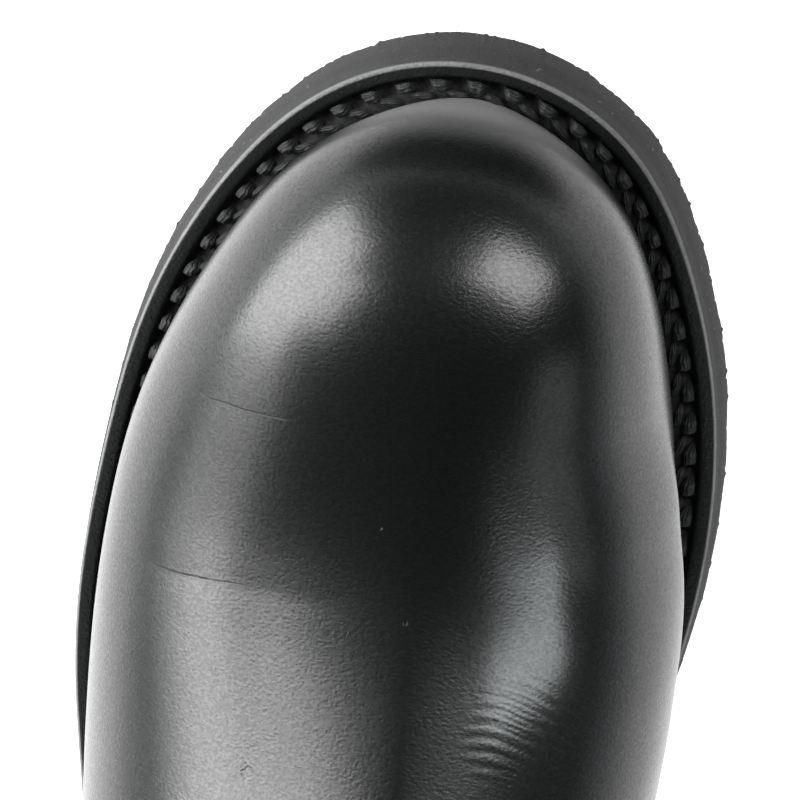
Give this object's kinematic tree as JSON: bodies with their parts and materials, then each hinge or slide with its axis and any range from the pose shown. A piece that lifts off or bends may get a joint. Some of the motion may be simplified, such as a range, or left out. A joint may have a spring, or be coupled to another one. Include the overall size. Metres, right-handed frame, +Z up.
{
  "type": "biker boot",
  "caption": "Left pull-on biker boot with a round toe, a stitched welt, a ribbed rubber sole and a low block heel, standing empty.",
  "frame": {"origin": "bottom centre of the boot's bounding box, on the floor that the sole and the heel stand on", "axes": "+Z up, -Y from the heel towards the toe, +X to the outer side of the left foot"},
  "size_m": [0.1128, 0.3076, 0.2753],
  "materials": {
    "outsole": "matt black rubber with a fine texture",
    "heel": "matt black rubber with a fine texture",
    "welt": "smooth black leather",
    "insole": "plain tan leather",
    "upper": "semi-gloss black grain leather"
  },
  "bodies": {
    "root": {"outsole": "outsole", "heel": "heel", "welt": "welt", "insole": "insole", "upper": "upper"}
  },
  "joints": []
}
